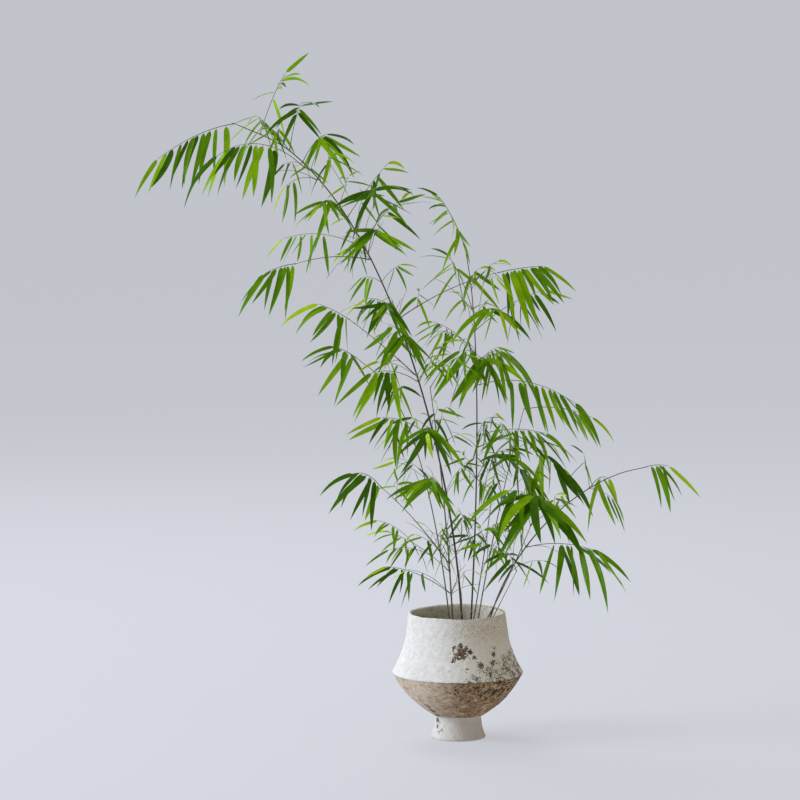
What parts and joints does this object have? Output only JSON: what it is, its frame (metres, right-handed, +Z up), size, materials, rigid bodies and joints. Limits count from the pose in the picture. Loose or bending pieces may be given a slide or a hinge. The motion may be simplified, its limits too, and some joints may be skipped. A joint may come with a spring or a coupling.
{
  "type": "potted bamboo",
  "caption": "Clumping bamboo with slender arching culms and drooping sprays of narrow leaves, in a footed stoneware bowl with a sharp keel.",
  "frame": {"origin": "centre of the pot's flat underside, where it stands", "axes": "+Z up along the pot's axis, +X to the viewer's right as in the picture, +Y to the back"},
  "size_m": [0.9255, 0.4341, 1.1246],
  "materials": {
    "pot": "rough matt white slip over bare tan clay",
    "soil": "loose, matt",
    "culm": "smooth, satin",
    "foliage": "satin leaf"
  },
  "bodies": {
    "root": {"pot": "pot", "soil": "soil", "culm_front_low": "culm", "culm_inner_back": "culm", "culm_left": "culm", "culm_left_arch": "culm", "culm_middle": "culm", "culm_right": "culm", "culm_right_slant": "culm", "culm_right_upright": "culm", "culm_tall": "culm", "bough_far_left": "culm", "bough_long_right": "culm", "bough_low_left": "culm", "bough_wing_left": "culm", "spray_far_left_tip": "foliage", "spray_front_low_tip": "foliage", "spray_inner_back_tip": "foliage", "spray_left_arch_tip": "foliage", "spray_left_back": "foliage", "spray_left_crown": "foliage", "spray_left_inner": "foliage", "spray_left_low": "foliage", "spray_long_right_tip": "foliage", "spray_low_left_tip": "foliage", "spray_middle_comb": "foliage", "spray_middle_far": "foliage", "spray_middle_fringe": "foliage", "spray_middle_hand": "foliage", "spray_middle_near": "foliage", "spray_middle_palm": "foliage", "spray_middle_rise": "foliage", "spray_middle_riser": "foliage", "spray_middle_small": "foliage", "spray_middle_tip": "foliage", "spray_right_mid": "foliage", "spray_right_slant_tip": "foliage", "spray_right_tip": "foliage", "spray_right_under": "foliage", "spray_right_upright_tip": "foliage", "spray_tall_crest": "foliage", "spray_tall_fan_left": "foliage", "spray_tall_fan_near": "foliage", "spray_tall_hand_far": "foliage", "spray_tall_hand_lower": "foliage", "spray_tall_hand_near": "foliage", "spray_tall_hand_upper": "foliage", "spray_tall_inner": "foliage", "spray_tall_left_high": "foliage", "spray_tall_left_low": "foliage", "spray_tall_mid_left": "foliage", "spray_tall_mid_right": "foliage", "spray_tall_node_left": "foliage", "spray_tall_palm_low": "foliage", "spray_tall_palm_near": "foliage", "spray_tall_right_up": "foliage", "spray_tall_tip": "foliage", "spray_tall_top": "foliage", "spray_tall_under": "foliage", "spray_wing_left_tip": "foliage"}
  },
  "joints": []
}
